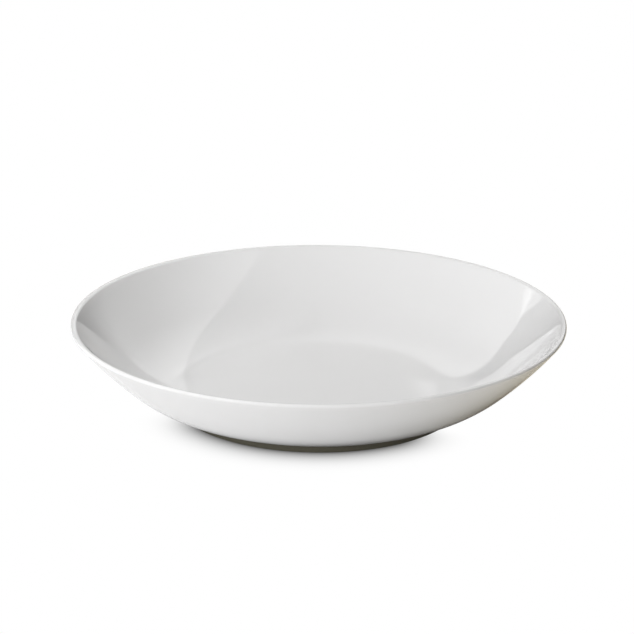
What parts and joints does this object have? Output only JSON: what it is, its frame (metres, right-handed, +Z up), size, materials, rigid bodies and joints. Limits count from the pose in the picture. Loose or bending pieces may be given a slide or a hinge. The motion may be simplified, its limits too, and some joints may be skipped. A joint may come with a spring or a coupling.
{
  "type": "deep coupe plate",
  "caption": "Round rimless deep plate: a flat well sweeping up into a steep wall with a thin soft lip, on a low foot ring. Serves soup, pasta or salad.",
  "frame": {"origin": "middle of the foot ring's tread, on the table", "axes": "+Z up along the plate's axis of symmetry, X and Y level with the table"},
  "size_m": [0.24, 0.24, 0.0425],
  "materials": {
    "glaze": "glossy white glaze",
    "porcelain": "fired porcelain, matt",
    "bare_foot": "bare ground ceramic, dark olive grey"
  },
  "bodies": {
    "root": {"porcelain_body": "porcelain", "foot_ring": "bare_foot", "inside_glaze": "glaze", "outside_glaze": "glaze", "base_glaze": "glaze"}
  },
  "joints": []
}
